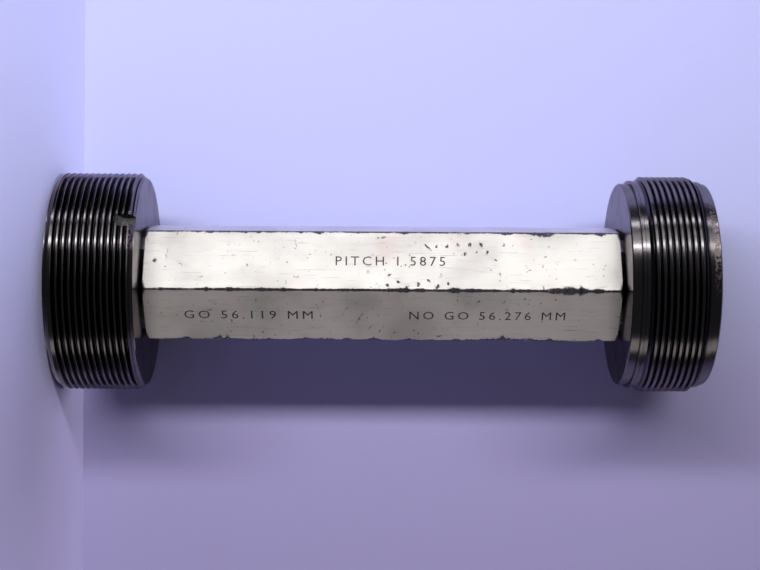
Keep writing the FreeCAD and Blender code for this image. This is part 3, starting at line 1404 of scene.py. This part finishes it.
@dataclass
class Studio:
    """Floor, paper backdrop, lamps, world and camera. Lengths here are in metres, but for the lens.

    The paper turns from its own colour to the shaded one across shade_span. In the world, the metal
    mirrors front on the camera's side and rear beyond the paper, and rear_span mixes them. Diffuse
    surfaces get fill in place of front. The camera sees pale. Its own turn is in radians.
    """

    paper: Colour = (0.48, 0.495, 0.81)
    shaded: Colour = (0.35, 0.318, 0.545)
    shade_span: Pair = (-0.03, 0.05)
    front: Colour = (0.030, 0.029, 0.033)
    fill: Colour = (0.075, 0.072, 0.008)
    rear: Colour = (0.42, 0.385, 0.60)
    rear_span: Pair = (0.25, 0.60)
    pale: Colour = (0.62, 0.58, 0.86)
    reach: float = 1.6
    paper_gap: float = 0.0002
    camera_distance: float = 0.40694
    camera_height: float = 0.08181
    lens: float = 72.49
    camera_turn: Triple = (0.0015364, 0.00549204, -0.0058503)

    def sheet(self, name: str, near: Pair, far: Pair) -> Object:
        """A flat sheet of the stage that throws no shadow and is clear from behind.

        Args:
            name: Its name.
            near: The (y, z) of its first edge, which runs along X.
            far: The (y, z) of the edge across from it.

        Returns:
            The sheet.
        """
        mesh = bpy.data.meshes.new(name)
        edges = ((-self.reach, near), (self.reach, near), (self.reach, far), (-self.reach, far))
        mesh.from_pydata([Vector((x, *edge)) for x, edge in edges], [], [(0, 1, 2, 3)])
        sheet = new_piece(name, mesh)
        f = Finish(name)
        tooth = f.cloud(1.5, 4.0)
        across = f.out("ShaderNodeSeparateXYZ", {0: f.place}, "X")
        # painted shade: the sheets turn from the paper colour to the shaded one towards +X, down the
        # main view
        hue = f.blend(f.between(across, *self.shade_span), self.paper, self.shaded)
        shader = f.out("ShaderNodeBsdfDiffuse", {"Color": hue, "Normal": f.bump(tooth, 0.05, 0.3)})
        clear = f.out("ShaderNodeBsdfTransparent")
        back = f.out("ShaderNodeNewGeometry", output="Backfacing")
        mix = f.out("ShaderNodeMixShader", {0: back, 1: shader, 2: clear})
        f.node("ShaderNodeOutputMaterial", {"Surface": mix})
        mesh.materials.append(f.material)
        sheet.visible_shadow = False
        sheet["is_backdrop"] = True
        return sheet

    def area_light(self, name: str, size: Pair, level: float, colour: Colour) -> Object:
        """A rectangular lamp whose face renders at a level.

        Args:
            name: Its name.
            size: Its width and length.
            level: How bright its face is, where 1 is white.
            colour: Its colour.

        Returns:
            The lamp.
        """
        light = bpy.data.lights.new(name, "AREA")
        light.shape = "RECTANGLE"
        light.size, light.size_y = size
        light.energy = level * math.pi * size[0] * size[1]
        light.color = colour
        lamp = bpy.data.objects.new(name, light)
        bpy.context.scene.collection.objects.link(lamp)
        return lamp

    def lamp(
        self, name: str, angle: float, distance: float, size: Pair, level: float, colour: Colour
    ) -> Object:
        """An area lamp, long along the gauge, that points at its middle.

        Args:
            name: Its name.
            angle: Its direction about the gauge, from the camera towards -X.
            distance: How far it stands from the axis.
            size: Its width across the gauge and its length along it.
            level: How bright its face is.
            colour: Its colour.

        Returns:
            The lamp.
        """
        lamp = self.area_light(name, size, level, colour)
        swing = math.radians(angle)
        place = Vector((-math.sin(swing), -math.cos(swing), 0.0)) * distance
        back = place.normalized()
        place.z = self.camera_height
        lamp.location = place
        along = Vector((0.0, 0.0, 1.0))
        lamp.rotation_euler = Matrix((along.cross(back), along, back)).transposed().to_euler()
        return lamp

    def world(self) -> None:
        """A dim studio, pale where the camera looks past the stage."""
        world = bpy.data.worlds.new("studio")
        bpy.context.scene.world = world
        world.use_nodes = True
        g = Graph(world.node_tree)
        path = g.node("ShaderNodeLightPath")
        way = g.out("ShaderNodeTexCoord", output="Generated")
        depth = g.out("ShaderNodeSeparateXYZ", {0: way}, "Y")
        behind = g.between(depth, *self.rear_span)
        ahead = g.blend(path.outputs["Is Diffuse Ray"], self.front, self.fill)
        front, rear, pale = (
            g.out("ShaderNodeBackground", {"Color": colour})
            for colour in (ahead, rgba(self.rear), rgba(self.pale))
        )
        room = g.out("ShaderNodeMixShader", {0: behind, 1: front, 2: rear})
        mix = g.out("ShaderNodeMixShader", {0: path.outputs["Is Camera Ray"], 1: room, 2: pale})
        g.node("ShaderNodeOutputWorld", {0: mix})
        world.cycles.sampling_method = "NONE"

    def camera(self) -> None:
        """The camera, at the gauge's side, rolled so that the gauge lies across its view."""
        data = bpy.data.cameras.new("camera")
        data.sensor_width = 36.0
        data.lens = self.lens
        data.clip_start = 0.01
        camera = bpy.data.objects.new("camera", data)
        bpy.context.scene.collection.objects.link(camera)
        pitch, yaw, roll = self.camera_turn
        aim = Matrix.Rotation(roll, 3, "Z") @ Matrix.Rotation(pitch, 3, "X")
        aim = aim @ Matrix.Rotation(yaw, 3, "Y")
        right, up, back = Vector((0, 0, 1)), Vector((-1, 0, 0)), Vector((0, -1, 0))
        base = Matrix((right, up, back)).transposed()
        camera.matrix_world = (base @ aim.transposed()).to_4x4()
        camera.location = (0.0, -self.camera_distance, self.camera_height)
        bpy.context.scene.camera = camera

    def build(self) -> None:
        """Sets the whole stage."""
        low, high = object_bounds()
        y = high.y + self.paper_gap
        floor = self.sheet("floor", (-self.reach, low.z), (self.reach, low.z))
        floor.visible_glossy = False
        self.sheet("paper", (y, low.z), (y, self.reach))
        warm, plain, cool = (1.0, 0.93, 0.90), (1.0, 0.99, 0.98), (0.94, 0.93, 1.0)
        paper_lamp = self.lamp("paper_lamp", 30.0, 0.36, (0.045, 0.60), 23.5, plain)
        floor_lamp = self.area_light("floor_lamp", (0.5, 0.5), 9.0, plain)
        floor_lamp.location = (-0.1, y + 0.27, 1.0)
        for lamp in (paper_lamp, floor_lamp):
            lamp.visible_glossy = False
        top = self.area_light("top", (0.6, 0.6), 1.2, plain)
        top.location = (-0.45, -0.55, 0.8)
        top.rotation_euler = top.location.to_track_quat("Z", "Y").to_euler()
        metal_lamps = (
            self.lamp("soft_key", 47.0, 0.70, (0.30, 0.60), 0.85, plain),
            self.lamp("narrow_key", 42.0, 0.60, (0.03, 0.52), 10.0, plain),
            self.lamp("narrow_upper", 70.0, 0.60, (0.03, 0.52), 9.0, cool),
            self.lamp("low", -72.0, 0.70, (0.20, 0.60), 0.62, warm),
            top,
        )
        for lamp in metal_lamps:
            lamp.visible_diffuse = False
        self.world()
        self.camera()
        bpy.context.scene.view_settings.view_transform = "Standard"


def main() -> None:
    """Builds the gauge and its stage, and reports each piece."""
    logging.basicConfig(level=logging.INFO, format="%(name)s: %(message)s")
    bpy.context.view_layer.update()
    for part in (GoPlug(), NoGoPlug(), HexHandle(), CapScrews(), Studio()):
        part.build()
    bpy.context.view_layer.update()


if __name__ == "__main__":
    main()
